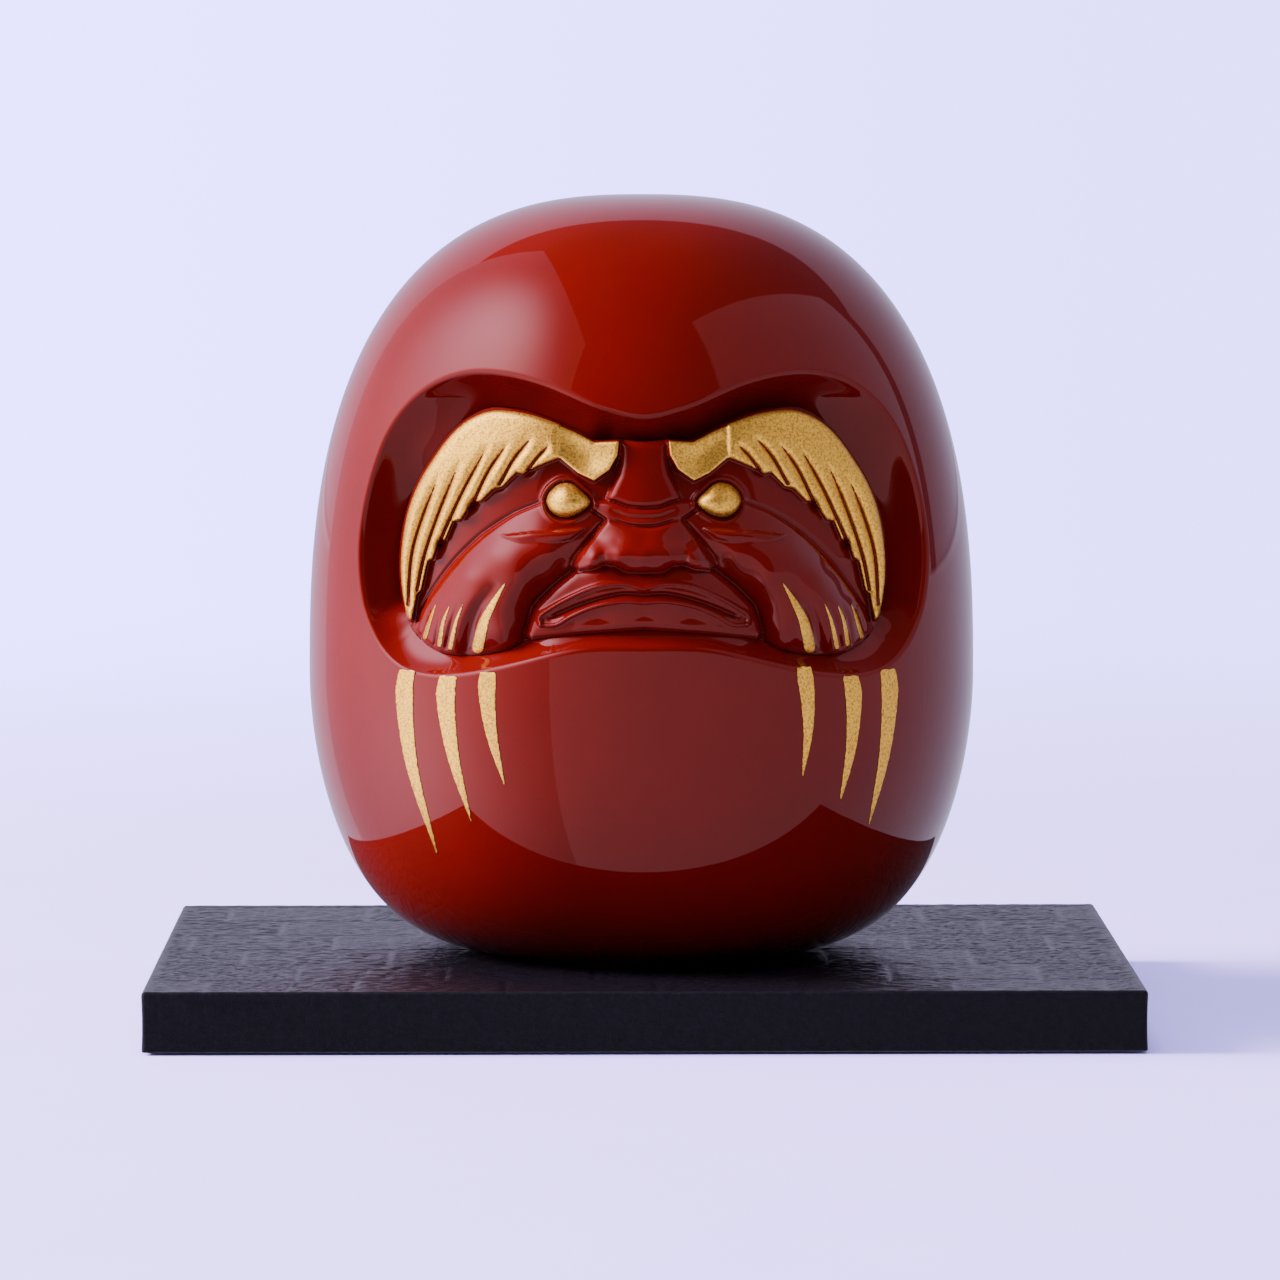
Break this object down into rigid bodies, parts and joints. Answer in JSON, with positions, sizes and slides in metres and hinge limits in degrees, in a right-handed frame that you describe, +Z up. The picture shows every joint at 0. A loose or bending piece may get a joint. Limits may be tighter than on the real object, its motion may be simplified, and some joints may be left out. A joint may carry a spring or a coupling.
{
  "type": "daruma doll",
  "caption": "Glossy red lacquered daruma with a recessed carved face, gold brows, bead eyes and gold whisker strokes, standing on a black paper-wrapped display board.",
  "frame": {"origin": "centre of the board's underside, on the surface the board stands on", "axes": "+X to the viewer's right along the board's long side, +Y towards the doll's back, +Z up; the doll faces -Y"},
  "size_m": [0.18, 0.14, 0.1526],
  "materials": {
    "lacquer": "deep vermilion lacquer over moulded resin, mirror gloss",
    "gold": "satin gold powder over lacquer, finely grained",
    "embossed_paper": "black embossed paper, satin",
    "fibreboard": "raw medium density fibreboard",
    "backing_paper": "plain matt black paper",
    "moulded_plate": "moulded plastic, matt",
    "iron": "raw casting",
    "steel": "plated screw steel",
    "felt": "pressed felt"
  },
  "bodies": {
    "stand": {"board_core": "fibreboard", "board_wrap": "embossed_paper", "underside_sheet": "backing_paper"},
    "doll": {"lacquer_shell": "lacquer", "face_relief": "lacquer", "brow_left": "gold", "brow_right": "gold", "eye_left": "gold", "eye_right": "gold", "cheek_stroke_left_1": "gold", "cheek_stroke_left_2": "gold", "cheek_stroke_left_3": "gold", "cheek_stroke_left_4": "gold", "cheek_stroke_right_1": "gold", "cheek_stroke_right_2": "gold", "cheek_stroke_right_3": "gold", "cheek_stroke_right_4": "gold", "whisker_left_1": "gold", "whisker_left_2": "gold", "whisker_left_3": "gold", "whisker_right_1": "gold", "whisker_right_2": "gold", "whisker_right_3": "gold", "base_plate": "moulded_plate", "ballast_disc": "iron", "ballast_screw_1": "steel", "ballast_screw_2": "steel", "ballast_screw_3": "steel", "felt_pad": "felt"}
  },
  "joints": [
    {"name": "doll_lift", "type": "slide", "parent": "stand", "child": "doll", "axis": [0, 0, 1], "range_m": [0, 0.1]}
  ]
}
